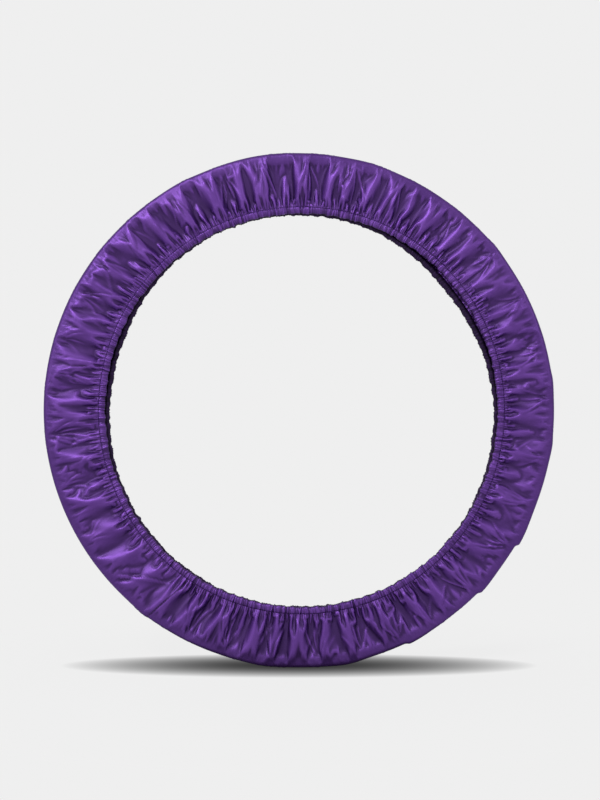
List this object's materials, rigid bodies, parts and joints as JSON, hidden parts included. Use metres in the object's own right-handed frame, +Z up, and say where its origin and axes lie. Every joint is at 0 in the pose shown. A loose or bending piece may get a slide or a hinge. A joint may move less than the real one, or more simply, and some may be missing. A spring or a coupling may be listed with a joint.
{
  "type": "rhythmic gymnastics hoop in dust cover",
  "caption": "Round plastic gymnastics hoop inside a soft ring-shaped dust cover, one strip of cloth folded over the tube and gathered by elastic at its inner hems.",
  "frame": {"origin": "centre of the ring, midway between the cover's front and back walls", "axes": "+Y is the ring's axis and points out of the back, so the front faces -Y; +Z is up; +X is to the right as seen from the front"},
  "size_m": [0.8914, 0.0226, 0.8913],
  "materials": {
    "hoop_plastic": "smooth extruded tube",
    "plug_plastic": "moulded",
    "pin_steel": "plain",
    "joint_tape": "thin smooth tape",
    "purple_cloth": "satin-like nylon taffeta, gathered",
    "elastic": "ribbed flat elastic",
    "elastic_thread": "sewing thread",
    "purple_thread": "sewing thread"
  },
  "bodies": {
    "cover": {"cover_sleeve": "purple_cloth", "front_elastic": "elastic", "back_elastic": "elastic", "elastic_lap_stitches": "elastic_thread", "front_casing_stitching": "purple_thread", "back_casing_stitching": "purple_thread", "closing_seam_stitching": "purple_thread"},
    "hoop": {"hoop_tube": "hoop_plastic", "joint_plug": "plug_plastic", "joint_pins": "pin_steel", "joint_tape": "joint_tape"}
  },
  "joints": [
    {"name": "hoop_turn", "type": "hinge", "parent": "cover", "child": "hoop", "pos_m": [0, 0, 0], "axis": [0, 1, 0], "continuous": true}
  ]
}
